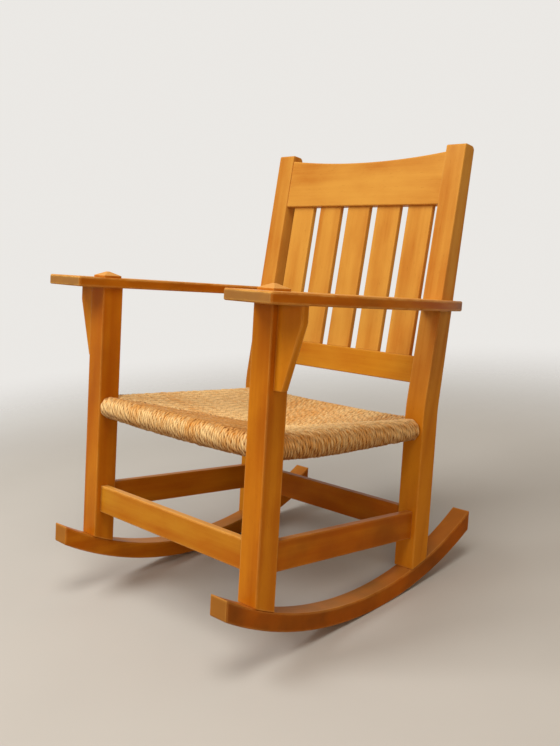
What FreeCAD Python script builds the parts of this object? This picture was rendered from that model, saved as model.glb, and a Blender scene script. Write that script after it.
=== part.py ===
# Wooden rocking chair with arms, a slatted back and a woven rush seat.
# The chair is drawn upright in its own frame: X across, Y from the front posts towards the back,
# Z up, with the origin midway between the front posts, at their front faces and at floor end.
# It is then leaned back to where it balances on its rockers, and set down on the floor.
# Left is the sitter's left, which is +X, because the sitter faces -Y.
import FreeCAD, Part
import math
import os

Vec = FreeCAD.Vector
X_AXIS = Vec(1, 0, 0)
Y_AXIS = Vec(0, 1, 0)
Z_AXIS = Vec(0, 0, 1)
ORIGIN = Vec(0, 0, 0)

# Overall frame, in millimetres
front_width = 540.0
back_width = 526.0
frame_depth = 420.0
arm_underside = 506.3
back_post_height = 824.5

# Posts
post_width = 46.0
post_depth = 44.5
post_ease = 1.5
back_knee_height = 308.0
back_rake_degrees = 7.7
back_top_depth = 29.2
back_knee_radius = 240.0
back_top_rounding = 9.0
back_top_front_rounding = 4.0
foot_tenon_length = 20.0
foot_tenon_shoulder = 8.0

# Rockers
rocker_radius = 669.0
rocker_centre_y = 225.0
rocker_drop = 74.2
rocker_height = 33.0
rocker_width = 42.5
rocker_front_reach = 64.0
rocker_back_reach = 183.0
rocker_ease = 1.6

# Arms
arm_thickness = 19.6
arm_fall_degrees = 0.63
arm_front_reach = 61.0
arm_front_overhang = 60.0
arm_middle_overhang = 76.0
arm_middle_share = 0.47
arm_back_overhang = 20.0
arm_back_reach = 40.5
arm_corner_radius = 4.0
arm_ease = 2.0
arm_tongue_length = 14.0
arm_tongue_thickness = 8.0
arm_tongue_shoulder = 9.0

# Through-tenons of the front posts and their low pyramid caps
arm_tenon_shoulder = 3.0
cap_side_height = 4.0
cap_rise = 8.0
cap_flat_share = 0.12

# Corbels under the arms
corbel_thickness = 14.0
corbel_setback = 11.0
corbel_reach = 57.0
corbel_land = 28.0
corbel_land_radius = 12.0
corbel_height = 142.0
corbel_foot = 20.0
corbel_foot_radius = 5.0
corbel_ease = 2.0

# Stretchers between the posts
stretcher_underside = 50.5
stretcher_height = 54.0
stretcher_thickness = 17.0
stretcher_inset = 10.0
rear_stretcher_rise = 2.0
stretcher_ease = 2.0

# Woven seat and the rails inside it
seat_roll_top = 287.0
seat_roll_radius = 21.0
seat_side_inset = 7.0
seat_back_inset = 4.0
seat_dip = 31.0
seat_centre_thickness = 20.0
rush_thickness = 5.0
seat_rail_height = 30.0
seat_rail_thickness = 20.0
seat_rail_ease = 6.0

# Crest rail, lower rail and slats, measured along and square to the raked posts
crest_height = 105.3
crest_top_gap = 13.0
crest_dip = 12.5
crest_thickness = 22.0
crest_setback = 1.6
lower_rail_rise = 48.5
lower_rail_height = 53.0
lower_rail_thickness = 18.0
lower_rail_setback = 7.5
back_rail_ease = 2.5
slat_count = 5
slat_width = 62.2
slat_gap = 20.9
slat_thickness = 10.4
slat_setback = 9.3
slat_tenon_length = 14.0
slat_tenon_shoulder = 2.0
slat_ease = 1.5

# Joinery shared by rails and stretchers
rail_tenon_length = 18.0
rail_tenon_thickness = 9.0
rail_tenon_shoulder = 5.0
joint_gap = 0.15
curve_gap = 0.3
overrun = 30.0
along_share = 0.95

# Densities for the balance, in kilograms per cubic metre
wood_density = 600
rush_density = 300

# Sizes that follow from those above
half_front = front_width / 2
half_back = back_width / 2
toe_in = math.atan2(half_front - half_back, frame_depth)
back_rake = math.radians(back_rake_degrees)
back_upper_length = (back_post_height - back_knee_height) / math.cos(back_rake)
back_post_inner = half_back - post_width
arm_top = arm_underside + arm_thickness
rocker_centre_z = rocker_radius - rocker_drop
post_foot_radius = rocker_radius - rocker_height
seat_roll_centre = seat_roll_top - seat_roll_radius
whole_chair = front_width + frame_depth + back_post_height


def box(low, high):
    """A box between two opposite corners."""
    return Part.makeBox(high[0] - low[0], high[1] - low[1], high[2] - low[2], Vec(*low))


def prism(points, direction):
    """A flat outline with straight sides, pushed out along a direction."""
    corners = [Vec(*point) for point in points]
    wire = Part.makePolygon(corners + [corners[0]])
    return Part.Face(wire).extrude(direction)


def corner_arc(corner, before, after, radius):
    """The ends and the middle of the arc that rounds a corner, or the corner alone at no radius."""
    if radius == 0:
        return [corner]
    inwards = (before + after).normalize()
    half_angle = before.getAngle(after) / 2
    reach = radius / math.tan(half_angle)
    middle = corner + inwards * (radius / math.sin(half_angle) - radius)
    return [corner + before * reach, middle, corner + after * reach]


def rounded_prism(points, radii, direction):
    """A flat outline with its corners rounded by the radii, pushed out along a direction."""
    corners = [Vec(*point) for point in points]
    spans = []
    for index, corner in enumerate(corners):
        before = (corners[index - 1] - corner).normalize()
        after = (corners[(index + 1) % len(corners)] - corner).normalize()
        spans.append(corner_arc(corner, before, after, radii[index]))
    edges = []
    for index, span in enumerate(spans):
        edges.append(Part.makeLine(spans[index - 1][-1], span[0]))
        if len(span) > 1:
            edges.append(Part.Arc(span[0], span[1], span[2]).toShape())
    return Part.Face(Part.Wire(edges)).extrude(direction)


def eased(shape, radius, axis):
    """Rounds every edge that runs along the axis or close to it."""
    edges = []
    for edge in shape.Edges:
        if len(edge.Vertexes) == 2:
            chord = edge.Vertexes[1].Point - edge.Vertexes[0].Point
            if abs(chord.dot(axis)) > along_share * edge.Length:
                edges.append(edge)
    return shape.makeFillet(radius, edges)


def cut_all(shape, tools):
    """Cuts every tool out of the shape."""
    for tool in tools:
        shape = shape.cut(tool)
    return shape


def mirrored(shape):
    """The right-hand twin of a left-hand piece."""
    return shape.mirror(ORIGIN, X_AXIS)


# The side frame: a left-hand piece is drawn with its outer face on the plane X = 0, and is then
# turned in towards the back and carried out to the chair's side.

def on_side(shape):
    placed = shape.copy()
    placed.rotate(ORIGIN, Z_AXIS, math.degrees(toe_in))
    placed.translate(Vec(half_front, 0, 0))
    return placed


def outside(x):
    """All that lies further out than a plane of the side frame, on both sides of the chair."""
    block = on_side(box([x, -whole_chair, -whole_chair], [whole_chair, whole_chair, whole_chair]))
    return [block, mirrored(block)]


# Rockers: sawn arcs of rectangular section, cut off plumb at both ends

def rocker_disc(radius):
    """A disc about the rockers' centre line, as thick as a post."""
    foot = Vec(-post_width, rocker_centre_y, rocker_centre_z)
    return Part.makeCylinder(radius, post_width, foot, X_AXIS)


def rocker_point(radius, y):
    """The point low on a circle about the rockers' centre, at one depth."""
    drop = math.sqrt(radius ** 2 - (y - rocker_centre_y) ** 2)
    return Vec(-rocker_width, y, rocker_centre_z - drop)


def rocker_end_depths():
    return -rocker_front_reach, rocker_centre_y, frame_depth + rocker_back_reach


def rocker():
    lower = [rocker_point(rocker_radius, y) for y in rocker_end_depths()]
    upper = [rocker_point(post_foot_radius, y) for y in rocker_end_depths()]
    edges = [
        Part.Arc(lower[0], lower[1], lower[2]).toShape(),
        Part.makeLine(lower[2], upper[2]),
        Part.Arc(upper[2], upper[1], upper[0]).toShape(),
        Part.makeLine(upper[0], lower[0]),
    ]
    blank = Part.Face(Part.Wire(edges)).extrude(Vec(rocker_width, 0, 0))
    blank = blank.makeChamfer(rocker_ease, blank.Edges)
    return cut_all(blank, [foot_tenon(0, joint_gap), foot_tenon(frame_depth, joint_gap)])


def foot_tenon(post_front, gap):
    """The stub tenon under a post, seated in the rocker, with a gap all round for its mortise."""
    shoulder = foot_tenon_shoulder - gap
    low = [-rocker_width + shoulder, post_front + shoulder, rocker_centre_z - rocker_radius]
    high = [-shoulder, post_front + post_depth - shoulder, stretcher_underside]
    return box(low, high).common(rocker_disc(post_foot_radius + foot_tenon_length + gap))


def on_rocker(shaft):
    """Cuts the foot of a post to the rocker's curve."""
    return shaft.common(rocker_disc(post_foot_radius - curve_gap))


# Front posts: straight, with a through-tenon and a low pyramid above the arm. The arm falls a
# little towards the back, and so does the shoulder that it sits on.

def fallen(shape):
    """Tips a level piece about the arms' underside at the front, so that it falls to the back."""
    shape.rotate(Vec(0, 0, arm_underside), X_AXIS, -arm_fall_degrees)
    return shape


def above_arm_seat():
    """All that lies above the sloping underside of the arms."""
    return fallen(box([-whole_chair, -whole_chair, arm_underside], [whole_chair, whole_chair, whole_chair]))


def arm_tenon(gap):
    """The tenon that passes up through the arm, with a gap all round for its mortise."""
    inset = arm_tenon_shoulder - gap
    return box([-post_width + inset, inset, arm_underside - overrun],
               [-inset, post_depth - inset, arm_top + cap_side_height])


def tenon_cap():
    """A frustum from the tenon's outline up to a small flat."""
    reach_x = post_width / 2 - arm_tenon_shoulder
    reach_y = post_depth / 2 - arm_tenon_shoulder
    base = arm_top + cap_side_height
    wires = []
    for share, height in ((1, base), (cap_flat_share, base + cap_rise)):
        corners = []
        for x, y in ((-1, -1), (1, -1), (1, 1), (-1, 1)):
            corners.append(Vec(reach_x * share * x - post_width / 2, reach_y * share * y + post_depth / 2, height))
        wires.append(Part.makePolygon(corners + [corners[0]]))
    return Part.makeLoft(wires, True, True)


def front_post():
    shaft = box([-post_width, 0, rocker_centre_z - rocker_radius], [0, post_depth, arm_top])
    shaft = on_side(on_rocker(eased(shaft, post_ease, Z_AXIS))).cut(above_arm_seat())
    post = shaft.fuse([on_side(foot_tenon(0, 0)), on_side(arm_tenon(0)), on_side(tenon_cap())]).removeSplitter()
    tools = [on_side(side_stretcher_tenon(joint_gap)), on_side(side_seat_tenon(joint_gap))]
    tools += [cross_tenon(FRONT_STRETCHER, joint_gap), cross_tenon(FRONT_SEAT_RAIL, joint_gap)]
    return cut_all(post, tools)


# Back posts: plumb up to the seat, then raked back and tapering to the top

def raked(along, square):
    """A depth and a height, from a distance up the raked front face and one square to it."""
    depth = frame_depth + along * math.sin(back_rake) + square * math.cos(back_rake)
    height = back_knee_height + along * math.cos(back_rake) - square * math.sin(back_rake)
    return depth, height


def back_face_depth(height):
    """Depth of the back post's front face at a height above the knee."""
    return frame_depth + (height - back_knee_height) * math.tan(back_rake)


def back_post():
    bottom = rocker_centre_z - rocker_radius
    top_front = raked(back_upper_length, 0)
    top_back = raked(back_upper_length, back_top_depth)
    outline = [
        (-post_width, frame_depth, bottom),
        (-post_width, frame_depth, back_knee_height),
        (-post_width, top_front[0], top_front[1]),
        (-post_width, top_back[0], top_back[1]),
        (-post_width, frame_depth + post_depth, back_knee_height),
        (-post_width, frame_depth + post_depth, bottom),
    ]
    radii = [0, back_knee_radius, back_top_front_rounding, back_top_rounding, back_knee_radius, 0]
    shaft = rounded_prism(outline, radii, Vec(post_width, 0, 0))
    shaft = on_rocker(shaft.makeFillet(post_ease, long_edges(shaft, bottom)))
    post = shaft.fuse(foot_tenon(frame_depth, 0)).removeSplitter()
    tools = [side_stretcher_tenon(joint_gap), side_seat_tenon(joint_gap), arm_tongue(joint_gap)]
    post = on_side(cut_all(post, tools))
    rails = [REAR_STRETCHER, REAR_SEAT_RAIL, CREST_RAIL, LOWER_RAIL]
    return cut_all(post, [cross_tenon(rail, joint_gap) for rail in rails])


def long_edges(shape, bottom):
    """The edges of both sides of a back post, without the two at the foot."""
    found = []
    for edge in shape.Edges:
        bounds = edge.BoundBox
        if bounds.XLength < joint_gap and bounds.ZMax > bottom + joint_gap:
            found.append(edge)
    return found


# Rails and stretchers across the chair: each is a section in Y and Z, eased and tenoned alike.
# Those of the back are drawn upright at the knee of the back posts and then raked with them.

class CrossRail:
    def __init__(self, front, underside, thickness, height, ease, raked_back=False, dip=0):
        self.front = front
        self.underside = underside
        self.back = front + thickness
        self.top = underside + height
        self.dip = dip
        self.ease = ease
        self.raked_back = raked_back

    def placed(self, shape):
        """Rakes a piece of the back about the posts' knee and leaves the others as they are."""
        if self.raked_back:
            shape.rotate(Vec(0, frame_depth, back_knee_height), X_AXIS, -back_rake_degrees)
        return shape

    def bar(self, inset_y, inset_z):
        """A bar across the whole chair, smaller than the section by the insets."""
        return box([-half_front, self.front + inset_y, self.underside + inset_z],
                   [half_front, self.back - inset_y, self.top - inset_z])


def cross_tenon(rail, gap):
    """The tenons at both ends of a rail, as one bar below its dip, with a gap for the mortises."""
    inset_y = (rail.back - rail.front - rail_tenon_thickness) / 2 - gap
    inset_z = rail_tenon_shoulder - gap
    bar = box([-half_front, rail.front + inset_y, rail.underside + inset_z],
              [half_front, rail.back - inset_y, rail.top - rail.dip - inset_z])
    return cut_all(rail.placed(bar), outside(rail_tenon_length - post_width + gap))


def cross_rail(rail, shaped=None):
    """A rail between the posts of two sides, with its tenons."""
    bar = eased(shaped or rail.bar(0, 0), rail.ease, X_AXIS)
    bar = cut_all(rail.placed(bar), outside(-post_width))
    return bar.fuse(cross_tenon(rail, 0)).removeSplitter()


FRONT_STRETCHER = CrossRail(stretcher_inset, stretcher_underside, stretcher_thickness,
                            stretcher_height, stretcher_ease)
REAR_STRETCHER = CrossRail(frame_depth + stretcher_inset, stretcher_underside + rear_stretcher_rise,
                           stretcher_thickness, stretcher_height, stretcher_ease)
FRONT_SEAT_RAIL = CrossRail(rush_thickness, seat_roll_centre - seat_rail_height / 2,
                            seat_rail_thickness, seat_rail_height, seat_rail_ease)
REAR_SEAT_RAIL = CrossRail(frame_depth + post_depth - seat_back_inset - rush_thickness - seat_rail_thickness,
                           seat_roll_centre - seat_rail_height / 2,
                           seat_rail_thickness, seat_rail_height, seat_rail_ease)
CREST_RAIL = CrossRail(frame_depth + crest_setback,
                       back_knee_height + back_upper_length - crest_top_gap - crest_height,
                       crest_thickness, crest_height, back_rail_ease, True, crest_dip)
LOWER_RAIL = CrossRail(frame_depth + lower_rail_setback, back_knee_height + lower_rail_rise,
                       lower_rail_thickness, lower_rail_height, back_rail_ease, True)


def crest_blank():
    """A board whose top edge dips in one arc, from corner to corner of the back posts' inner faces."""
    radius = (back_post_inner ** 2 + crest_dip ** 2) / (2 * crest_dip)
    low = CREST_RAIL.top - crest_dip
    rise = radius - math.sqrt(radius ** 2 - half_front ** 2)
    left = Vec(half_front, CREST_RAIL.front, low + rise)
    right = Vec(-half_front, CREST_RAIL.front, low + rise)
    foot_left = Vec(half_front, CREST_RAIL.front, CREST_RAIL.underside)
    foot_right = Vec(-half_front, CREST_RAIL.front, CREST_RAIL.underside)
    edges = [
        Part.Arc(right, Vec(0, CREST_RAIL.front, low), left).toShape(),
        Part.makeLine(left, foot_left),
        Part.makeLine(foot_left, foot_right),
        Part.makeLine(foot_right, right),
    ]
    return Part.Face(Part.Wire(edges)).extrude(Vec(0, crest_thickness, 0))


def crest_rail():
    rail = cross_rail(CREST_RAIL, crest_blank())
    return cut_all(rail, [slat_tenons(index, joint_gap) for index in range(slat_count)])


def lower_back_rail():
    rail = cross_rail(LOWER_RAIL)
    return cut_all(rail, [slat_tenons(index, joint_gap) for index in range(slat_count)])


# Slats: flat boards, tenoned up into the crest rail and down into the lower rail

def slat_middle(index):
    return (index - (slat_count - 1) / 2) * (slat_width + slat_gap)


def slat_bar(index, inset, low, high):
    """A slat's section, smaller by an inset, between two heights of the upright back."""
    middle = slat_middle(index)
    front = frame_depth + slat_setback
    return box([middle - slat_width / 2 + inset, front + inset, low],
               [middle + slat_width / 2 - inset, front + slat_thickness - inset, high])


def slat_tenons(index, gap):
    """Both tenons of a slat as one bar through it, with a gap all round for the mortises."""
    low = LOWER_RAIL.top - slat_tenon_length - gap
    high = CREST_RAIL.underside + slat_tenon_length + gap
    return CREST_RAIL.placed(slat_bar(index, slat_tenon_shoulder - gap, low, high))


def back_slat(index):
    body = eased(slat_bar(index, 0, LOWER_RAIL.top, CREST_RAIL.underside), slat_ease, Z_AXIS)
    return CREST_RAIL.placed(body).fuse(slat_tenons(index, 0)).removeSplitter()


# Side stretchers and side seat rails, between the front and back post of one side

def side_rail(outer, thickness, underside, height, inset_x, inset_z, reach):
    """A bar of the side frame, smaller than its section by the insets and reaching into both posts."""
    return box([-outer - thickness + inset_x, post_depth - reach, underside + inset_z],
               [-outer - inset_x, frame_depth + reach, underside + height - inset_z])


def side_stretcher_tenon(gap):
    inset = (stretcher_thickness - rail_tenon_thickness) / 2 - gap
    return side_rail(stretcher_inset, stretcher_thickness, stretcher_underside, stretcher_height,
                     inset, rail_tenon_shoulder - gap, rail_tenon_length + gap)


def side_stretcher():
    body = side_rail(stretcher_inset, stretcher_thickness, stretcher_underside, stretcher_height, 0, 0, 0)
    body = eased(body, stretcher_ease, Y_AXIS)
    return on_side(body.fuse(side_stretcher_tenon(0)).removeSplitter())


def side_seat_tenon(gap):
    inset = (seat_rail_thickness - rail_tenon_thickness) / 2 - gap
    return side_rail(seat_side_inset + rush_thickness, seat_rail_thickness,
                     seat_roll_centre - seat_rail_height / 2, seat_rail_height,
                     inset, rail_tenon_shoulder - gap, rail_tenon_length + gap)


def side_seat_rail():
    body = side_rail(seat_side_inset + rush_thickness, seat_rail_thickness,
                     seat_roll_centre - seat_rail_height / 2, seat_rail_height, 0, 0, 0)
    body = eased(body, seat_rail_ease, Y_AXIS)
    return on_side(body.fuse(side_seat_tenon(0)).removeSplitter())


# Arms: flat boards with a bowed outer edge, mortised for the front post and notched round the back

def arm_blank():
    inner = back_post_inner
    front = -arm_front_reach
    back = back_face_depth(arm_underside + arm_thickness / 2) + arm_back_reach
    middle = front + (back - front) * arm_middle_share
    front_corner = Vec(half_front + arm_front_overhang, front, arm_underside)
    bow = Vec(half_front + arm_middle_overhang, middle, arm_underside)
    back_corner = Vec(half_back + arm_back_overhang, back, arm_underside)
    inner_back = Vec(inner, back, arm_underside)
    inner_front = Vec(inner, front, arm_underside)
    edges = [
        Part.makeLine(inner_front, front_corner),
        Part.Arc(front_corner, bow, back_corner).toShape(),
        Part.makeLine(back_corner, inner_back),
        Part.makeLine(inner_back, inner_front),
    ]
    blank = Part.Face(Part.Wire(edges)).extrude(Vec(0, 0, arm_thickness))
    blank = eased(blank, arm_corner_radius, Z_AXIS)
    flat_edges = [edge for edge in blank.Edges if edge.BoundBox.ZLength < joint_gap]
    return fallen(blank.makeChamfer(arm_ease, flat_edges))


def arm_notch():
    """What the back post and the space behind it take from the arm."""
    low = arm_underside - overrun
    high = arm_top + overrun
    far = whole_chair
    inner = -post_width - overrun
    outline = [
        (inner, back_face_depth(low) - joint_gap, low),
        (inner, back_face_depth(high) - joint_gap, high),
        (inner, far, high),
        (inner, far, low),
    ]
    return prism(outline, Vec(joint_gap - inner, 0, 0))


def arm_tongue(gap):
    """The stub tongue of the arm in the back post's front face."""
    fall = frame_depth * math.tan(math.radians(arm_fall_degrees))
    middle = arm_underside + arm_thickness / 2 - fall
    face = back_face_depth(middle)
    half = arm_tongue_thickness / 2 + gap
    inset = arm_tongue_shoulder - gap
    return box([-post_width + inset, face - arm_tongue_length, middle - half],
               [-inset, face + arm_tongue_length + gap, middle + half])


def arm():
    board = cut_all(arm_blank(), [on_side(arm_notch()), on_side(arm_tenon(joint_gap))])
    return board.fuse(on_side(arm_tongue(0))).removeSplitter()


# Corbels: brackets under the arms, flat on the outer faces of the front posts

def corbel():
    front = corbel_setback
    foot = arm_underside - corbel_height
    outline = [
        (0, front, arm_top),
        (corbel_reach, front, arm_top),
        (corbel_reach, front, arm_underside - corbel_land),
        (corbel_foot, front, foot),
        (0, front, foot),
    ]
    radii = [0, 0, corbel_land_radius, corbel_foot_radius, 0]
    blank = rounded_prism(outline, radii, Vec(0, corbel_thickness, 0))
    outer_edges = []
    for edge in blank.Edges:
        bounds = edge.BoundBox
        if bounds.YLength < joint_gap and bounds.XMax > joint_gap and bounds.ZMin < arm_underside - joint_gap:
            outer_edges.append(edge)
    return on_side(blank.makeFillet(corbel_ease, outer_edges)).cut(above_arm_seat())


# Rush seat: four quadrants whose strands run square to their rails and fall to the middle.
# All four share one section, so that they meet in straight mitres from the corners.

def seat_lines():
    """The outer lines of the four rolls: front and back depths, and the half widths there."""
    front = 0
    back = frame_depth + post_depth - seat_back_inset
    slope = math.tan(toe_in)
    half_width_front = half_front - seat_side_inset / math.cos(toe_in)
    half_width_back = half_width_front - back * slope
    return front, back, half_width_front, half_width_back


def seat_section(run):
    """The section of a quadrant from its outer line inwards, as edges in the plane X = 0."""
    top = seat_roll_top
    bottom = seat_roll_centre - seat_roll_radius
    centre_top = top - seat_dip
    outer_low = Vec(0, seat_roll_radius, bottom)
    outer_high = Vec(0, seat_roll_radius, top)
    inner_high = Vec(0, run, centre_top)
    inner_low = Vec(0, run, centre_top - seat_centre_thickness)
    edges = [
        Part.Arc(outer_low, Vec(0, 0, seat_roll_centre), outer_high).toShape(),
        Part.makeLine(outer_high, inner_high),
        Part.makeLine(inner_high, inner_low),
        Part.makeLine(inner_low, outer_low),
    ]
    return Part.Face(Part.Wire(edges))


def seat_quadrant(start, end, apexes, run):
    """The part of the seat over one rail: its section run along the rail and cut at the mitres."""
    along = end - start
    turn = math.degrees(math.atan2(along.y, along.x))
    section = seat_section(run)
    section.translate(Vec(-run, 0, 0))
    bar = section.extrude(Vec(along.Length + 2 * run, 0, 0))
    bar.rotate(ORIGIN, Z_AXIS, turn)
    bar.translate(start)
    outline = [start, end] + apexes
    plan = prism([(point.x, point.y, seat_roll_top - whole_chair) for point in outline],
                 Vec(0, 0, 2 * whole_chair))
    return bar.common(plan)


def rush_seat(rails, posts):
    front, back, half_width_front, half_width_back = seat_lines()
    run = (back - front) / 2
    middle = (front + back) / 2
    half_width_middle = (half_width_front + half_width_back) / 2
    apex = half_width_middle - run / math.cos(toe_in)
    front_left = Vec(half_width_front, front, 0)
    front_right = Vec(-half_width_front, front, 0)
    back_left = Vec(half_width_back, back, 0)
    back_right = Vec(-half_width_back, back, 0)
    apex_left = Vec(apex, middle, 0)
    apex_right = Vec(-apex, middle, 0)
    seat = seat_quadrant(front_right, front_left, [apex_left, apex_right], run)
    others = [
        seat_quadrant(front_left, back_left, [apex_left], run),
        seat_quadrant(back_left, back_right, [apex_right, apex_left], run),
        seat_quadrant(back_right, front_right, [apex_right], run),
    ]
    seat = seat.fuse(others).removeSplitter()
    return cut_all(seat, rails + posts)


def rail_tunnels():
    """The seat rails' sections with a gap all round, run right through the seat."""
    tunnels = []
    for rail in (FRONT_SEAT_RAIL, REAR_SEAT_RAIL):
        tunnels.append(eased(rail.bar(-curve_gap, -curve_gap), rail.ease + curve_gap, X_AXIS))
    side = side_rail(seat_side_inset + rush_thickness, seat_rail_thickness,
                     seat_roll_centre - seat_rail_height / 2, seat_rail_height,
                     -curve_gap, -curve_gap, post_depth)
    side = on_side(eased(side, seat_rail_ease + curve_gap, Y_AXIS))
    return tunnels + [side, mirrored(side)]


def post_clearances():
    """The corners that the posts take from the seat."""
    clearances = []
    for front in (0, frame_depth):
        corner = box([-post_width - curve_gap, front - curve_gap, seat_roll_top - whole_chair],
                     [whole_chair, front + post_depth + curve_gap, seat_roll_top + whole_chair])
        corner = on_side(corner)
        clearances += [corner, mirrored(corner)]
    return clearances


def build_chair():
    """Every piece by its name, in the upright frame."""
    pieces = {}
    left_hand = {
        "rocker": on_side(rocker()),
        "front_post": front_post(),
        "back_post": back_post(),
        "arm": arm(),
        "corbel": corbel(),
        "side_stretcher": side_stretcher(),
        "side_seat_rail": side_seat_rail(),
    }
    for name, shape in left_hand.items():
        pieces[name + "_left"] = shape
        pieces[name + "_right"] = mirrored(shape)
    pieces["front_stretcher"] = cross_rail(FRONT_STRETCHER)
    pieces["rear_stretcher"] = cross_rail(REAR_STRETCHER)
    pieces["front_seat_rail"] = cross_rail(FRONT_SEAT_RAIL)
    pieces["rear_seat_rail"] = cross_rail(REAR_SEAT_RAIL)
    pieces["crest_rail"] = crest_rail()
    pieces["lower_back_rail"] = lower_back_rail()
    for index in range(slat_count):
        pieces["back_slat_%d" % (index + 1)] = back_slat(index)
    pieces["rush_seat"] = rush_seat(rail_tunnels(), post_clearances())
    return pieces


def balance_lean(pieces):
    """The lean in degrees at which the chair's weight hangs under the rockers' centre."""
    mass = 0
    moment = Vec(0, 0, 0)
    for name, shape in pieces.items():
        density = rush_density if name == "rush_seat" else wood_density
        mass += shape.Volume * density
        moment += shape.CenterOfGravity * (shape.Volume * density)
    centre = moment * (1 / mass)
    return math.degrees(math.atan2(centre.y - rocker_centre_y, rocker_centre_z - centre.z))


def set_down(pieces, lean):
    """Leans every piece back and puts the middle of the chair's footprint at the origin."""
    for shape in pieces.values():
        shape.rotate(ORIGIN, X_AXIS, -lean)
    bounds = Part.makeCompound(list(pieces.values())).optimalBoundingBox(False, False)
    shift = Vec(-bounds.Center.x, -bounds.Center.y, -bounds.ZMin)
    for shape in pieces.values():
        shape.translate(shift)


chair = build_chair()
lean = balance_lean(chair)
set_down(chair, lean)
print("lean in degrees: %.2f" % lean)
os.makedirs("parts", exist_ok=True)
for name, shape in chair.items():
    print("%-22s solids %d, valid %s" % (name, len(shape.Solids), shape.isValid()))
    shape.exportStep("parts/" + name + ".step")
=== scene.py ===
# Looks of a wooden rocking armchair with a woven rush seat.
# All sizes are in metres. The chair's own frame has X across, Y from the front posts to the back
# and Z up the front posts; on the floor the chair leans back from it.
import math

import bpy
import numpy as np
from mathutils import Matrix, Vector


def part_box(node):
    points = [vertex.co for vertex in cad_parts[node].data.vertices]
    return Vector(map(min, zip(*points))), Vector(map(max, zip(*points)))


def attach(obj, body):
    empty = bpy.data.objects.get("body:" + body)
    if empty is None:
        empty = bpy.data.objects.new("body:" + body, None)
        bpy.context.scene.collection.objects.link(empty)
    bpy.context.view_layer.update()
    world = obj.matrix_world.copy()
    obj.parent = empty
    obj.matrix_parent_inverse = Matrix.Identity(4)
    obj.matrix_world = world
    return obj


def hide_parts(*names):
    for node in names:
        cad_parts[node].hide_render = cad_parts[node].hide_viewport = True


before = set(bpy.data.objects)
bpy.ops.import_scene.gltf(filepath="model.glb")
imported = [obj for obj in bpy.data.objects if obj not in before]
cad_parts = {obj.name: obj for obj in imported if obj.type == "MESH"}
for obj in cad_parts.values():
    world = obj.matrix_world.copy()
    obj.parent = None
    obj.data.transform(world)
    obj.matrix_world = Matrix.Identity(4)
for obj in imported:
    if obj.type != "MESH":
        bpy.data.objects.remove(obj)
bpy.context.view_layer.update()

# Rockers
# Two arcs of light orange-brown hardwood, sawn from wide boards and cut off plumb at both ends. The
# posts' stub tenons stand in their tops. The lacquer is satin, and soiled where it meets floors.
stretcher_depth = 0.0185
front_stretcher_height = 0.0775
rear_stretcher_height = 0.0795
stretcher_distance = 0.42


def middle_of(node):
    low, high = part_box(node)
    return (low + high) / 2


# The front and rear stretchers lie level in the chair's own frame, the rear one a little higher,
# and their middles give the lean and the place of that frame.
stretcher_run = middle_of("rear_stretcher") - middle_of("front_stretcher")
stretcher_slope = math.atan2(rear_stretcher_height - front_stretcher_height, stretcher_distance)
chair_lean = stretcher_slope - math.atan2(stretcher_run.z, stretcher_run.y)
chair_turn = Matrix.Rotation(-chair_lean, 3, "X")
front_stretcher_middle = Vector((0, stretcher_depth, front_stretcher_height))
chair_origin = middle_of("front_stretcher") - chair_turn @ front_stretcher_middle
across_chair = Vector((1, 0, 0))
front_to_back = chair_turn @ Vector((0, 1, 0))
up_posts = chair_turn @ Vector((0, 0, 1))


class Value:
    """The output of a shader node, with arithmetic as operators."""

    def __init__(self, surface, socket):
        self.surface = surface
        self.socket = socket

    def sum_with(self, operation, *others):
        return self.surface.node("ShaderNodeMath", (self, *others), operation=operation)

    def __add__(self, other):
        return self.sum_with("ADD", other)

    def __sub__(self, other):
        return self.sum_with("SUBTRACT", other)

    def __mul__(self, other):
        return self.sum_with("MULTIPLY", other)

    def __abs__(self):
        return self.sum_with("ABSOLUTE")

    __radd__ = __add__
    __rmul__ = __mul__

    def smooth(self, low, high):
        """Zero at low, one at high, and a smooth step between them; low may be the greater."""
        inputs = {"Value": self, "From Min": low, "From Max": high}
        return self.surface.node("ShaderNodeMapRange", inputs, interpolation_type="SMOOTHSTEP")


class Surface:
    """A material with one Principled shader, whose nodes are made by one method."""

    def __init__(self, name):
        self.material = bpy.data.materials.new(name)
        self.material.use_nodes = True
        self.tree = self.material.node_tree
        self.shader = self.tree.nodes["Principled BSDF"]

    def fill(self, node, inputs):
        """Sets the inputs of a node, given by name or in order, to values or plain numbers."""
        pairs = inputs.items() if isinstance(inputs, dict) else enumerate(inputs)
        for key, value in pairs:
            if isinstance(value, Value):
                self.tree.links.new(value.socket, node.inputs[key])
            else:
                node.inputs[key].default_value = value

    def node(self, kind, inputs=(), output=0, **settings):
        made = self.tree.nodes.new(kind)
        for name, value in settings.items():
            setattr(made, name, value)
        self.fill(made, inputs)
        return Value(self, made.outputs[output])

    def stretched(self, point, scale):
        return self.node("ShaderNodeVectorMath", (point, scale), operation="MULTIPLY")

    def noise(self, point, scale, detail):
        """Noise from zero to one, as many waves to the metre along each axis as the scale says."""
        inputs = {"Vector": self.stretched(point, scale), "Scale": 1.0, "Detail": detail}
        return self.node("ShaderNodeTexNoise", inputs)

    def mix(self, share, first, second):
        inputs = {0: share, 6: first, 7: second}
        return self.node("ShaderNodeMix", inputs, output=2, data_type="RGBA")

    def bump(self, height, depth, strength, normal=None):
        inputs = {"Height": height, "Distance": depth, "Strength": strength}
        if normal:
            inputs["Normal"] = normal
        return self.node("ShaderNodeBump", inputs)


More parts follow.
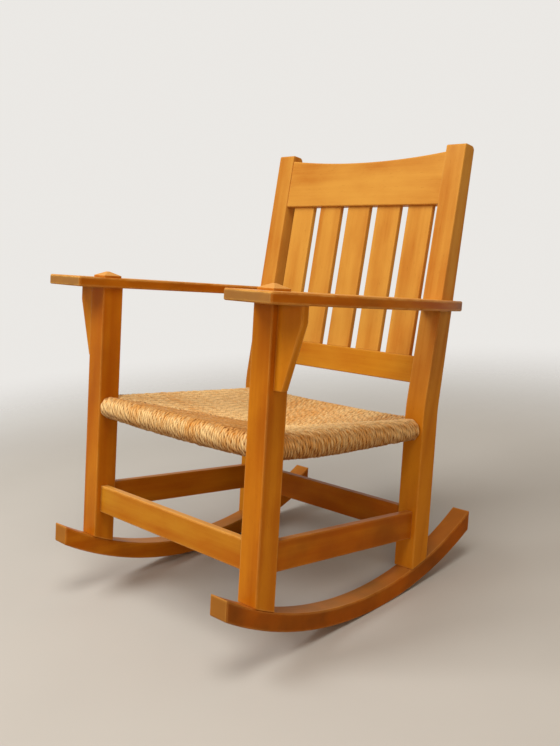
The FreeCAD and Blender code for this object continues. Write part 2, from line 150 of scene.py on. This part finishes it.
# Colours of the wood: of the common orange board, of its darker streaks, pores and end grain, of
# the lacquer where it is rubbed or carries a painted highlight, and of the soil on it.
wood_orange = (0.65, 0.250, 0.012, 1)
wood_dark = (0.41, 0.100, 0.003, 1)
wood_pore = (0.27, 0.075, 0.004, 1)
wood_end = (0.35, 0.150, 0.026, 1)
wood_worn_and_lit = (0.84, 0.460, 0.120, 1)
wood_soil = (0.15, 0.048, 0.006, 1)

# Waves to the metre, two ways across the grain and along it, and the detail in each wave
drift_waves = ((6, 6, 1.0), 2.0)
streak_waves = ((150, 150, 4), 3.0)
fibre_waves = ((1100, 1100, 38), 2.0)
pore_waves = ((520, 520, 90), 1.0)
blotch_waves = ((24, 24, 11), 3.0)
soil_waves = ((8, 8, 8), 4.0)
rubbing_waves = ((30, 30, 30), 3.0)
figure_waves = (9, 9, 0.9)
figure_distortion = 9.0
figure_detail = 2.0
figure_detail_scale = 1.4

# Shares of each in the darkness of the wood, and where that starts and ends
drift_share = 0.5
figure_share = 0.17
streak_share = 0.24
blotch_share = 0.45
fibre_share = 0.1
darkness_start = 0.32
darkness_range = (0.05, 0.95)
pore_range = (0.66, 0.78)
pore_share = 0.22

# Soil lies in patches on the boards whose tone is darker than soiled_tone.
soil_range = (0.36, 0.68)
soiled_tone = 0.08
soil_share = 2.1

# Heights between which the colour of a board goes from its foot's to its head's; a golden head is
# partly painted light and sheen
head_range = (0.28, 0.52)

# The end grain, and the blotches in it
end_range = (0.7, 0.92)
end_share = 0.55
end_blotch_share = 0.4

# Rounding of the edges, their wear with a painted highlight, and wear with painted light on the
# faces that look up
edge_round = 0.002
worn_edge_round = 0.003
wear_and_highlight_width = 0.006
edge_samples = 6
bend_range = (0.1, 0.5)
rubbing_range = (0.15, 0.6)
upward_range = (0.7, 0.95)
upward_share = 0.55

# The lacquer's gloss and the relief of the grain under it
lacquer_roughness = 0.27
blotch_roughness = 0.14
streak_roughness = 0.08
end_roughness = 0.2
fibre_relief = 0.6
streak_relief = 0.8
pore_relief = 0.5
grain_depth = 0.0002
grain_strength = 0.4
lacquer_reflection = 0.035
lacquer_coat = 0.025
lacquer_coat_roughness = 0.14

# How far apart in the grain's pattern two boards lie
board_step = (0.37, 0.61, 1.13)


def wood(name, board, along, tone, wear_and_highlight, foot, head, ends):
    """Lacquered wood of one board, with its grain along a direction, darker by its tone.

    A faint cathedral figure, long soft streaks, fine pores and the blotches of age darken its
    colour, which goes from foot to head with the height; a golden head is partly painted light
    and sheen. The end grain shows where a face looks along the grain. Wear, with a painted
    highlight, shows where the normal of a rounded edge leaves the face's own, and with painted
    light on the faces that look up.
    """
    surface = Surface(name)
    turn = Vector(along).rotation_difference(Vector((0, 0, 1))).to_euler()
    place = surface.node("ShaderNodeTexCoord", output=3)
    offset = tuple(step * board for step in board_step)
    inputs = {"Vector": place, "Rotation": turn, "Location": offset}
    grain = surface.node("ShaderNodeMapping", inputs)
    drift = surface.noise(grain, *drift_waves)
    inputs = {"Vector": surface.stretched(grain, figure_waves), "Scale": 1.0,
              "Distortion": figure_distortion, "Detail": figure_detail,
              "Detail Scale": figure_detail_scale}
    figure = surface.node("ShaderNodeTexWave", inputs, output=1,
                          wave_type="RINGS", rings_direction="Z")
    streaks = surface.noise(grain, *streak_waves)
    fibres = surface.noise(grain, *fibre_waves)
    pores = surface.noise(grain, *pore_waves).smooth(*pore_range)
    blotches = surface.noise(grain, *blotch_waves)
    darkness = (drift * drift_share + figure * figure_share + streaks * streak_share
                + blotches * blotch_share + fibres * fibre_share - darkness_start + tone)
    height = surface.node("ShaderNodeSeparateXYZ", (place,), output=2)
    light = surface.mix(height.smooth(*head_range), foot, head)
    colour = surface.mix(darkness.smooth(*darkness_range), light, wood_dark)
    colour = surface.mix(pores * pore_share, colour, wood_pore)
    soil = surface.noise(place, *soil_waves).smooth(*soil_range)
    soil = soil * max(tone - soiled_tone, 0) * soil_share
    colour = surface.mix(soil, colour, wood_soil)
    facing = surface.node("ShaderNodeTexCoord", output=1)
    inputs = (facing, tuple(along))
    end = abs(surface.node("ShaderNodeVectorMath", inputs, output=1, operation="DOT_PRODUCT"))
    end = end.smooth(*end_range)
    colour = surface.mix(end * (end_share + end_blotch_share * blotches), colour, ends)
    inputs = {"Radius": edge_round + worn_edge_round * wear_and_highlight}
    edges = surface.node("ShaderNodeBevel", inputs, samples=edge_samples)
    wide = surface.node("ShaderNodeBevel", {"Radius": wear_and_highlight_width}, samples=edge_samples)
    flat = surface.node("ShaderNodeNewGeometry", output=3)
    bend = surface.node("ShaderNodeVectorMath", (wide, flat), output=1, operation="DISTANCE")
    rubbing = surface.noise(place, *rubbing_waves).smooth(*rubbing_range)
    upward = surface.node("ShaderNodeSeparateXYZ", (facing,), output=2).smooth(*upward_range)
    # Wear, partly a painted highlight on the edges and painted light on the faces that look up
    worn_and_lit = bend.smooth(*bend_range) * rubbing + upward * upward_share
    colour = surface.mix(worn_and_lit * wear_and_highlight, colour, wood_worn_and_lit)
    roughness = (blotches * blotch_roughness + streaks * streak_roughness + lacquer_roughness
                 + end * end_roughness)
    relief = fibres * fibre_relief + streaks * streak_relief - pores * pore_relief
    surface.fill(surface.shader, {
        "Base Color": colour, "Roughness": roughness,
        "Normal": surface.bump(relief, grain_depth, grain_strength, edges),
        "Specular IOR Level": lacquer_reflection, "Coat Weight": lacquer_coat,
        "Coat Roughness": lacquer_coat_roughness})
    return surface.material


def lacquer(node, board, along, tone, wear_and_highlight, foot=wood_orange, head=wood_orange, ends=wood_end):
    """Gives a piece of the frame the wood of its own board, numbered through the chair."""
    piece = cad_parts[node]
    piece.data.materials.clear()
    material = wood(node + "_wood", board, along, tone, wear_and_highlight, foot, head, ends)
    piece.data.materials.append(material)


# The left rocker's darker tone, and the soil that comes with it, is partly painted shade.
lacquer("rocker_left", 1, front_to_back, tone=0.46, wear_and_highlight=0.35)
lacquer("rocker_right", 2, front_to_back, tone=0.22, wear_and_highlight=0.3)

# Front posts
# Two straight squared posts with their feet cut to the rockers' arc. They pass up through the arms,
# and each ends above its arm in a low pyramid cap, whose end grain is pale, partly worn and partly
# painted light on its upward faces.
# Pale end grain of the caps, partly painted light on their upward faces
wood_cap_end_and_light = (0.66, 0.340, 0.100, 1)
lacquer("front_post_left", 3, up_posts, tone=0.14, wear_and_highlight=0.4, ends=wood_cap_end_and_light)
lacquer("front_post_right", 4, up_posts, tone=0.15, wear_and_highlight=0.4, ends=wood_cap_end_and_light)

# Back posts
# Two posts that stand plumb to just above the seat, then rake back and taper to their rounded tops.
# They are mortised for every rail and for the arms, and are golden above the seat, partly as
# painted light and sheen.
# A golden colour, partly painted light and sheen on the upper back
wood_gold_and_sheen = (0.665, 0.335, 0.058, 1)
back_rake = math.radians(7.7)
up_back = chair_turn @ Vector((0, math.sin(back_rake), math.cos(back_rake)))
lacquer("back_post_left", 5, up_back, tone=0.02, wear_and_highlight=0.3, head=wood_gold_and_sheen)
lacquer("back_post_right", 6, up_back, tone=-0.04, wear_and_highlight=0.3, head=wood_gold_and_sheen)

# Stretchers
# Four flat boards tenoned low between the posts, the rear one a little higher than the others. The
# front one comes from a honey-coloured board, and heels have rubbed its edges, which also carry
# a painted highlight.
wood_honey = (0.60, 0.290, 0.022, 1)
lacquer("side_stretcher_left", 11, front_to_back, tone=0.3, wear_and_highlight=0.3)
lacquer("side_stretcher_right", 12, front_to_back, tone=0.12, wear_and_highlight=0.3)
lacquer("front_stretcher", 15, across_chair, tone=0.1, wear_and_highlight=0.8, foot=wood_honey, head=wood_honey)
lacquer("rear_stretcher", 16, across_chair, tone=0.22, wear_and_highlight=0.2)

# Seat rails
# Four plain rails, tenoned between the posts and hidden in the rush that is wound round them. No
# hand or light reaches them, so they are neither worn nor soiled.
lacquer("side_seat_rail_left", 13, front_to_back, tone=0.0, wear_and_highlight=0.0)
lacquer("side_seat_rail_right", 14, front_to_back, tone=0.0, wear_and_highlight=0.0)
lacquer("front_seat_rail", 17, across_chair, tone=0.0, wear_and_highlight=0.0)
lacquer("rear_seat_rail", 18, across_chair, tone=0.0, wear_and_highlight=0.0)

# Rails of the back
# The wide crest rail with its dipped top edge, and the narrow lower rail, are tenoned between the
# raked posts and hold the slats. The crest rail is golden, partly as painted light and sheen, the
# lower one honey-coloured.
lacquer("crest_rail", 19, across_chair, tone=-0.02, wear_and_highlight=0.4, foot=wood_gold_and_sheen, head=wood_gold_and_sheen)
lacquer("lower_back_rail", 20, across_chair, tone=0.06, wear_and_highlight=0.3, foot=wood_honey,
        head=wood_honey)

# Back slats
# Five thin flat slats, tenoned into the crest rail and the lower rail. All are of the golden wood,
# partly painted light and sheen, and each comes from a board of its own shade.
slat_tones = (-0.12, -0.06, -0.08, -0.02, -0.16)
boards_before_slats = 20
for number, slat_tone in enumerate(slat_tones, 1):
    lacquer(f"back_slat_{number}", boards_before_slats + number, up_back, tone=slat_tone,
            wear_and_highlight=0.2, foot=wood_gold_and_sheen, head=wood_gold_and_sheen)

# Arms
# Two flat boards with a bowed outer edge, mortised over the front posts and notched round the back
# posts. Hands have rubbed their edges and tops pale, which also carry a painted highlight, and
# their ends dull and tan.
wood_grip = (0.315, 0.176, 0.055, 1)
# The left arm's darker tone, and the soil that comes with it, is partly painted shade.
lacquer("arm_left", 7, front_to_back, tone=0.32, wear_and_highlight=1.0, ends=wood_grip)
lacquer("arm_right", 8, front_to_back, tone=0.25, wear_and_highlight=1.0, ends=wood_grip)

# Corbels
# Two sawn brackets that taper to a rounded foot, glued under the arms to the outer faces of the
# front posts. Their grain stands upright, like the posts'.
lacquer("corbel_left", 9, up_posts, tone=-0.06, wear_and_highlight=0.5)
lacquer("corbel_right", 10, up_posts, tone=-0.04, wear_and_highlight=0.5)

# Rush seat
# Straw gold strands, each twisted from two plies of rush, in four quarters that are square to their
# rails and meet in mitres from the corners. A strand comes out of the mitre on top, wraps the rail
# in a thick roll and returns below. The seat falls from the rolls to the middle.
rush_pale = (1.0, 0.745, 0.37, 1)
rush_gold = (0.82, 0.435, 0.13, 1)
rush_brown = (0.20, 0.055, 0.005, 1)

# Waves to the strand's radius across it and to the metre along it, and the detail in each wave
strip_waves = ((1.6, 1.6, 34), 2.0)
hair_waves = ((5, 5, 60), 2.0)
patch_waves = ((0.5, 0.5, 30), 2.0)

# Shares of each in the paleness of the rush, from its dryness and its own tone, with the painted
# light and shade that the tone carries
strip_share = 0.9
patch_share = 0.5
tone_share = 0.42
paleness_start = 0.46
paleness_range = (0.2, 0.7)
hair_range = (0.52, 0.70)
hair_share = 0.42
strip_roughness = 0.3
rush_roughness = 0.28
rush_reflection = 0.04
hair_relief = 0.6
rush_depth = 0.0009
rush_strength = 0.8


def rush():
    """Rush, paler where it is dry and brown in the grooves.

    The attribute fibre carries the turn round the strand and the run along it, tone carries the
    strand's own shade together with the painted light and shade of its quarter, and the groove
    attribute the painted shade of the places that lie deep or shaded.
    """
    surface = Surface("twisted_rush")
    fibre = surface.node("ShaderNodeAttribute", output=1, attribute_name="fibre")
    tone = surface.node("ShaderNodeAttribute", output=2, attribute_name="tone")
    painted_groove_shade = surface.node("ShaderNodeAttribute", output=2, attribute_name="painted_groove_shade")
    strips = surface.noise(fibre, *strip_waves)
    hairs = surface.noise(fibre, *hair_waves)
    patches = surface.noise(fibre, *patch_waves)
    paleness = strips * strip_share + patches * patch_share + tone * tone_share - paleness_start
    colour = surface.mix(paleness.smooth(*paleness_range), rush_gold, rush_pale)
    # Painted shade in the grooves, together with the dark hairs, mixes in the brown
    dark = painted_groove_shade + hairs.smooth(*hair_range) * hair_share
    colour = surface.mix(dark, colour, rush_brown)
    relief = surface.bump(strips + hairs * hair_relief, rush_depth, rush_strength)
    surface.fill(surface.shader, {
        "Base Color": colour, "Roughness": strips * strip_roughness + rush_roughness,
        "Normal": relief, "Specular IOR Level": rush_reflection})
    return surface.material


rush_material = rush()

# The seat's outline, seen from above, and the posts that it runs round
seat_front = 0.0
seat_back = 0.4605
seat_half_front = 0.263
seat_run = (seat_back - seat_front) / 2
side_narrowing = 0.007
post_width = 0.046
post_depth = 0.0445
post_overhang = 0.007
post_room = 0.0005
back_post_front = 0.42

# The seat's section
roll_top = 0.287
roll_radius = 0.021
top_fall = 0.034
top_fall_power = 1.05
under_fall = 0.008
least_flat = 1e-6


def seat_profile(run, inner, hang, sag):
    """Depth and height on the seat's section, and its outward normal.

    run goes from -1, on top at the depth inner, to 1, below at that depth. The roll is the half
    circle (r - r cos a, r sin a). On top the height falls by f (1 - (1 - u)^p), and below it
    rises by g u, where u is the share of the way from the roll to the middle of the seat. The
    lower half hangs lower by hang, and the roll's top sags by sag, which ends at the mitre.
    """
    flat = np.maximum(inner - roll_radius, least_flat)
    round_part = math.pi * roll_radius / 2
    length = flat + round_part
    walked = np.abs(run) * length
    side = np.where(run < 0, 1.0, -1.0)
    angle = np.minimum(walked / roll_radius, math.pi / 2)
    on_flat = np.maximum(walked - round_part, 0)
    depth = roll_radius * (1 - np.cos(angle)) + on_flat
    share = np.clip(on_flat / (seat_run - roll_radius), 0, 1)
    top = -top_fall * (1 - (1 - share) ** top_fall_power)
    fall = np.where(side > 0, top, -under_fall * share)
    lower = np.where(side < 0, hang, sag * (1 - on_flat / flat)) * np.sin(angle)
    height = roll_top - roll_radius + side * roll_radius * np.sin(angle) + fall - lower
    top_slope = top_fall * top_fall_power * (1 - share) ** (top_fall_power - 1)
    slope = np.where(side > 0, top_slope, -under_fall)
    slope = np.where(on_flat > 0, slope / (seat_run - roll_radius), 0)
    normal_depth = np.where(on_flat > 0, slope * side, -np.cos(angle))
    normal_height = np.where(on_flat > 0, side, side * np.sin(angle))
    size = np.hypot(normal_depth, normal_height)
    return depth, height, normal_depth / size, normal_height / size


class Quarter:
    """One rail's share of the seat: its outer line, the mitres at both ends and how it hangs.

    first and last are the room that the posts take from its ends. The belly below it is b deep,
    leans towards the start by k, and the roll's top sags by sag. The shades, painted light above
    zero and painted shade below, are added to the tone of its strands on the roll and on top, and
    below zero they also darken its grooves.
    """

    def __init__(self, name, start, end, start_angle, end_angle, first, last, belly,
                 lean=0.0, sag=0.0, painted_roll_shade=0.0, painted_top_shade=0.0):
        self.name = name
        self.belly = belly
        self.lean = lean
        self.sag = sag
        self.painted_roll_shade = painted_roll_shade
        self.painted_top_shade = painted_top_shade
        self.start = np.array(start)
        line = np.array(end) - self.start
        self.length = np.hypot(line[0], line[1])
        self.along = line / self.length
        self.inward = np.array([-self.along[1], self.along[0]])
        self.start_slope = math.tan(start_angle / 2)
        self.end_slope = math.tan(end_angle / 2)
        self.first = first
        self.last = last

    def reach(self, place):
        """How far in from the outer line a strand runs before it meets the mitre."""
        from_start = place * self.start_slope
        from_end = (self.length - place) * self.end_slope
        return np.minimum(np.minimum(from_start, from_end), seat_run)

    def section(self, run, place, room=0.0):
        """The seat's section at the share v of the rail: it hangs b sin(pi v) (1 + k cos(pi v))."""
        share = math.pi * place / self.length
        hang = self.belly * np.sin(share) * (1 + self.lean * np.cos(share))
        return seat_profile(run, self.reach(place) + room, hang, self.sag * np.sin(share))

    def points(self, place, depth, height):
        """Places along the rail, depths and heights as points of the chair's own frame."""
        x = self.start[0] + self.along[0] * place + self.inward[0] * depth
        y = self.start[1] + self.along[1] * place + self.inward[1] * depth
        return np.stack(np.broadcast_arrays(x, y, height), axis=-1)


toe_in = math.atan2(side_narrowing, stretcher_distance)
seat_half_back = seat_half_front - (seat_back - seat_front) * math.tan(toe_in)
front_angle = math.pi / 2 - toe_in
back_angle = math.pi / 2 + toe_in
front_left_corner = (seat_half_front, seat_front)
front_right_corner = (-seat_half_front, seat_front)
back_left_corner = (seat_half_back, seat_back)
back_right_corner = (-seat_half_back, seat_back)
beside_post = post_width - post_overhang + post_room
behind_front_post = post_depth + post_room
before_back_post = seat_back - back_post_front + post_room

# The front quarter's top carries painted shade and its roll painted light; the side quarters'
# tops carry painted light and the left roll painted shade.
quarters = [
    Quarter("front", front_right_corner, front_left_corner, front_angle, front_angle,
            beside_post, beside_post, belly=0.005, painted_roll_shade=0.2, painted_top_shade=-0.45),
    Quarter("left", front_left_corner, back_left_corner, front_angle, back_angle,
            behind_front_post, before_back_post, belly=0.008, lean=0.6, painted_roll_shade=-0.1,
            painted_top_shade=0.25),
    Quarter("back", back_left_corner, back_right_corner, back_angle, back_angle,
            beside_post, beside_post, belly=0.005, sag=0.005),
    Quarter("right", back_right_corner, front_right_corner, back_angle, front_angle,
            before_back_post, behind_front_post, belly=0.008, lean=-0.6, painted_top_shade=0.4),
]


def on_chair(points):
    """Points of the chair's own frame, as an array whose last axis is x, y, z, in the row frame."""
    return points @ np.array(chair_turn).T + np.array(chair_origin)


def grid_mesh(name, points):
    """A closed mesh from points of the shape tubes, rings, sides, with a fan cap at both ends."""
    tubes, rings, sides = points.shape[:3]
    index = np.arange(tubes * rings * sides).reshape(tubes, rings, sides)
    after = np.roll(index, -1, axis=2)
    quads = np.stack([index[:, :-1], after[:, :-1], after[:, 1:], index[:, 1:]], axis=-1)
    quads = quads.reshape(-1, 4)
    near_caps = index[:, 0, ::-1].reshape(-1, sides)
    far_caps = index[:, -1].reshape(-1, sides)
    faces = np.concatenate([quads.ravel(), near_caps.ravel(), far_caps.ravel()])
    totals = np.concatenate([np.full(len(quads), 4), np.full(2 * tubes, sides)])
    starts = np.concatenate([[0], np.cumsum(totals)[:-1]])
    mesh = bpy.data.meshes.new(name)
    mesh.vertices.add(points.size // 3)
    mesh.vertices.foreach_set("co", points.reshape(-1).astype(np.float32))
    mesh.loops.add(len(faces))
    mesh.loops.foreach_set("vertex_index", faces.astype(np.int32))
    mesh.polygons.add(len(totals))
    mesh.polygons.foreach_set("loop_start", starts.astype(np.int32))
    mesh.polygons.foreach_set("use_smooth", np.ones(len(totals), bool))
    mesh.update(calc_edges=True)
    mesh.validate()
    return mesh


def added(name, mesh, material):
    """A finished piece that rides on the chair."""
    piece = bpy.data.objects.new(name, mesh)
    bpy.context.scene.collection.objects.link(piece)
    mesh.materials.append(material)
    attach(piece, "root")
    return piece


def store(mesh, name, kind, values):
    attribute = mesh.attributes.new(name, kind, "POINT")
    key = "vector" if kind == "FLOAT_VECTOR" else "value"
    attribute.data.foreach_set(key, np.ascontiguousarray(values, np.float32).reshape(-1))


def waves(random, count, length, lengths, size):
    """Smooth sideways drift along each of several strands: a sum of sines of random phase."""
    total = 0
    for wave in lengths:
        phase = random.uniform(0, 2 * math.pi, (count, 1))
        strength = random.normal(0, size, (count, 1))
        total = total + strength * np.sin(2 * math.pi * length / wave + phase)
    return total


# The strands and their mesh
strand_pitch = 0.0064
strand_radius = 0.0034
strand_flatness = 0.95
strand_rings = 120
strand_sides = 10
ply_swell = 0.17
twist_length = 0.032
mitre_lap = 0.001
tuck_length = 0.010
tuck_depth = 0.006
first_seed = 40

# How uneven the strands are: in thickness, in how high they lie and in their place along the rail
thickness_spread = 0.04
thickness_wave_lengths = (0.05, 0.13)
thickness_wave_size = 0.03
height_wave_lengths = (0.04, 0.09)
height_wave_size = 0.00025
place_spread = 0.00015
place_wave_lengths = (0.06, 0.17)
place_wave_size = 0.00025
strand_slant = 0.0016
fibre_shift = 3.7

# Shade of a strand, shared with its neighbours, and painted shade in the grooves between plies, at
# the strands' sides, on the shaded parts and on the underside
tone_neighbours = 7
own_tone_share = 0.45
near_tone_share = 0.55
ply_painted_shade = 0.55
side_painted_shade = 0.66
side_shade_power = 1.5
shade_groove = 0.38
under_painted_shade = 0.6
top_slope_gain = 2.5
top_slope_start = 1.5


def strands(quarter, seed):
    """All the strands of a quarter, as tubes round the seat's section.

    Strand k lies at its own place along the rail. Round its centre line c(s), with the normal n
    and the rail's direction a, the tube is c + r (a cos t + f n sin t), where the radius
    r = R (1 + q cos(2 (t + w s))) has two lobes of the plies' swell q, that turn with the twist
    w. At the mitre the strand tucks under the one that it meets.
    """
    random = np.random.default_rng(seed)
    room = quarter.length - quarter.first - quarter.last
    count = 2 * int(room / strand_pitch / 2)
    pitch = room / count
    place = quarter.first + pitch * (np.arange(count)[:, None] + 0.5)
    run = np.linspace(-1, 1, strand_rings)[None, :]
    inner = quarter.reach(place) + mitre_lap
    depth, height, normal_depth, normal_height = quarter.section(run, place, mitre_lap)
    length = run * (inner - roll_radius + math.pi * roll_radius / 2)
    thickness = 1 + random.normal(0, thickness_spread, (count, 1))
    swell = waves(random, count, length, thickness_wave_lengths, thickness_wave_size)
    thickness = thickness + swell
    tuck = np.clip(1 - (1 - np.abs(run)) * np.abs(length[:, -1:]) / tuck_length, 0, 1)
    bridge = np.where(inner > seat_run, 0.0, 1.0)
    sink = strand_radius * strand_flatness + tuck ** 2 * tuck_depth * bridge
    sink = sink - waves(random, count, length, height_wave_lengths, height_wave_size)
    place = place + random.normal(0, place_spread, (count, 1))
    place = place + waves(random, count, length, place_wave_lengths, place_wave_size)
    place = place + strand_slant * np.sin(math.pi * run / 2)
    turn = np.arange(strand_sides) * 2 * math.pi / strand_sides
    twist = length / twist_length + random.uniform(0, 1, (count, 1))
    twist = -2 * math.pi * twist[..., None]
    lobes = np.cos(2 * (turn - twist))
    tube = (strand_radius * thickness)[..., None] * (1 + ply_swell * lobes)
    out = tube * strand_flatness * np.sin(turn) - sink[..., None]
    points = quarter.points(place[..., None] + tube * np.cos(turn),
                            depth[..., None] + normal_depth[..., None] * out,
                            height[..., None] + normal_height[..., None] * out)
    mesh = grid_mesh("rush_" + quarter.name, on_chair(points))
    fibre_run = (length + np.arange(count)[:, None] * fibre_shift)[..., None]
    fibre_run = np.broadcast_to(fibre_run, lobes.shape)
    fibre = np.stack([np.cos(turn - twist), np.sin(turn - twist), fibre_run], axis=-1)
    store(mesh, "fibre", "FLOAT_VECTOR", fibre)
    # Painted light and shade of the quarter, on its roll and on its top, added to the strands' tone
    top = np.clip(top_slope_gain * normal_height - top_slope_start, 0, 1)
    shade = (quarter.painted_roll_shade * (1 - top) + quarter.painted_top_shade * top)[..., None]
    tone = random.uniform(0, 1, count)
    around = np.pad(tone, tone_neighbours // 2, mode="wrap")
    near_tone = np.convolve(around, np.full(tone_neighbours, 1 / tone_neighbours), mode="valid")
    spread_tone = 2 * near_tone - 0.5
    tone = own_tone_share * tone + near_tone_share * spread_tone
    store(mesh, "tone", "FLOAT", np.broadcast_to(tone[:, None, None] + shade, lobes.shape))
    # Painted shade between the plies, at the strands' sides, where the quarter is shaded and
    # underneath
    between_plies = np.clip(-lobes, 0, 1) ** 2 * ply_painted_shade
    at_sides = np.clip(1 - np.sin(turn), 0, 1) ** side_shade_power * side_painted_shade
    painted_groove_shade = between_plies + at_sides + shade_groove * np.clip(-shade, 0, 1)
    painted_groove_shade = painted_groove_shade + under_painted_shade * np.clip(-normal_height, 0, 1)[..., None]
    painted_groove_shade = np.clip(np.broadcast_to(painted_groove_shade, lobes.shape), 0, 1)
    store(mesh, "painted_groove_shade", "FLOAT", painted_groove_shade)
    return added("rush_" + quarter.name, mesh, rush_material)


for number, quarter in enumerate(quarters):
    strands(quarter, first_seed + number)

# Stuffing of the rush seat
# Packed rush, brown and hidden but for the gaps between the strands. It is pushed in between the
# upper and lower strands as the seat is wound, and fills each quarter up to its mitres.
stuffing_cover = 0.0045
stuffing_steps = 60
stuffing_sections = 41
stuffing_dark = (0.10, 0.04, 0.01, 1)
clump_waves = ((300, 300, 300), 3.0)
clump_roughness = 0.2
stuffing_roughness = 0.7


def stuffing():
    """The seat's section, drawn in under the strands and run along each rail between its mitres.

    A ring at the place t along the rail is the section's outline up to the reach of the mitre
    at t, and its ends meet in the mitre.
    """
    parts = []
    for quarter in quarters:
        place = np.linspace(quarter.first, quarter.length - quarter.last, stuffing_sections)
        place = place[:, None]
        run = np.linspace(-1, 1, stuffing_steps)[None, :]
        depth, height, normal_depth, normal_height = quarter.section(run, place)
        depth = depth - normal_depth * stuffing_cover
        height = height - normal_height * stuffing_cover
        parts.append(quarter.points(place, depth, height))
    mesh = grid_mesh("seat_stuffing", on_chair(np.stack(parts)))
    surface = Surface("packed_rush")
    place = surface.node("ShaderNodeTexCoord", output=3)
    clumps = surface.noise(place, *clump_waves)
    colour = surface.mix(clumps, rush_brown, stuffing_dark)
    surface.fill(surface.shader, {
        "Base Color": colour, "Roughness": clumps * clump_roughness + stuffing_roughness})
    piece = added("seat_stuffing", mesh, surface.material)
    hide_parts("rush_seat")


stuffing()

# Floor
# A plain pale floor of fine-grained concrete, with nothing on it but the chair's shadow. Away from
# the chair it fades into the pale background.
floor_half_width = 5.0
floor_fade_start = 1.0
floor_fade_end = 2.5
floor_colour = (0.58, 0.58, 0.572, 1)
floor_shade = (0.50, 0.498, 0.493, 1)
cloud_waves = ((1.7, 1.7, 1.7), 4.0)
cloud_roughness = 0.1
floor_roughness = 0.7


def floor():
    corners = [(-floor_half_width, -floor_half_width, 0), (floor_half_width, -floor_half_width, 0),
               (floor_half_width, floor_half_width, 0), (-floor_half_width, floor_half_width, 0)]
    mesh = bpy.data.meshes.new("floor")
    mesh.from_pydata(corners, [], [(0, 1, 2, 3)])
    surface = Surface("pale_floor")
    place = surface.node("ShaderNodeTexCoord", output=3)
    clouds = surface.noise(place, *cloud_waves)
    distance = surface.node("ShaderNodeVectorMath", (place,), output=1, operation="LENGTH")
    surface.fill(surface.shader, {
        "Base Color": surface.mix(clouds, floor_colour, floor_shade),
        "Roughness": clouds * cloud_roughness + floor_roughness,
        "Alpha": distance.smooth(floor_fade_end, floor_fade_start)})
    mesh.materials.append(surface.material)
    piece = bpy.data.objects.new("floor", mesh)
    bpy.context.scene.collection.objects.link(piece)


floor()

# Light
# Two broad soft lamps hang over the chair, on its left and right. A weak one in front and a small
# warm one on the right fill in, with a faint warm surrounding. The background is plain and pale.
surround_colour = (0.91, 0.75, 0.585, 1)
surround_strength = 0.28
background_colour = (0.83, 0.81, 0.78, 1)

# Each lamp's place, the point that it faces, its width, its power in watts and its colour
lamps = {
    "ceiling_left": ((-1.6, -2.3, 3.4), (0, 0, 0.3), 1.7, 88, (1.0, 0.95, 0.87)),
    "ceiling_right": ((1.1, -1.1, 3.8), (0, 0, 0.3), 1.9, 78, (1.0, 0.93, 0.82)),
    "front_left": ((-1.9, -3.0, 1.9), (0, 0, 0.5), 2.2, 12, (1.0, 0.95, 0.87)),
    "warm_right": ((2.6, -2.0, 1.3), (0, 0, 0.4), 0.5, 15, (1.0, 0.58, 0.26)),
}


def light():
    """The lamps, and a surrounding that lights the chair but shows as the plain background."""
    world = bpy.data.worlds.new("surround")
    bpy.context.scene.world = world
    world.use_nodes = True
    nodes = world.node_tree.nodes
    links = world.node_tree.links
    surround = nodes["Background"]
    surround.inputs["Color"].default_value = surround_colour
    surround.inputs["Strength"].default_value = surround_strength
    seen = nodes.new("ShaderNodeBackground")
    seen.inputs["Color"].default_value = background_colour
    choice = nodes.new("ShaderNodeMixShader")
    path = nodes.new("ShaderNodeLightPath")
    share = path.outputs["Is Camera Ray"]
    for ray in ("Is Glossy Ray", "Is Transmission Ray"):
        either = nodes.new("ShaderNodeMath")
        either.operation = "MAXIMUM"
        links.new(share, either.inputs[0])
        links.new(path.outputs[ray], either.inputs[1])
        share = either.outputs[0]
    links.new(share, choice.inputs[0])
    links.new(surround.outputs[0], choice.inputs[1])
    links.new(seen.outputs[0], choice.inputs[2])
    links.new(choice.outputs[0], nodes["World Output"].inputs["Surface"])
    for name, (place, target, size, power, colour) in lamps.items():
        lamp = bpy.data.lights.new(name, "AREA")
        lamp.size = size
        lamp.energy = power
        lamp.color = colour
        holder = bpy.data.objects.new(name, lamp)
        holder.location = place
        facing = Vector(target) - Vector(place)
        holder.rotation_euler = facing.to_track_quat("-Z", "Y").to_euler()
        bpy.context.scene.collection.objects.link(holder)


light()

# Camera
# It stands where the photograph was taken from, worked out in the chair's own frame from points
# on the chair's edges, and is carried with the chair as it leans.
image_height = 746
camera_focus = 928.4
camera_place = (1.3593, -1.0083, 0.5537)
camera_azimuth = math.radians(46.542)
camera_elevation = math.radians(6.103)
camera_roll = math.radians(3.334)
sensor_width = 36.0


def camera():
    """A camera whose focus, given in pixels, is taken to the sensor by the image's height."""
    ahead = Vector((-math.sin(camera_azimuth) * math.cos(camera_elevation),
                    math.cos(camera_azimuth) * math.cos(camera_elevation),
                    -math.sin(camera_elevation)))
    level = Vector((math.cos(camera_azimuth), math.sin(camera_azimuth), 0))
    upward = level.cross(ahead)
    right = math.cos(camera_roll) * level + math.sin(camera_roll) * upward
    above = math.cos(camera_roll) * upward - math.sin(camera_roll) * level
    axes = chair_turn @ Matrix((right, above, -ahead)).transposed()
    lens = bpy.data.cameras.new("camera")
    lens.sensor_width = sensor_width
    lens.lens = camera_focus * sensor_width / image_height
    holder = bpy.data.objects.new("camera", lens)
    place = chair_turn @ Vector(camera_place) + chair_origin
    holder.matrix_world = Matrix.Translation(place) @ axes.to_4x4()
    bpy.context.scene.collection.objects.link(holder)
    bpy.context.scene.camera = holder


camera()
bpy.context.scene.view_settings.view_transform = "Standard"
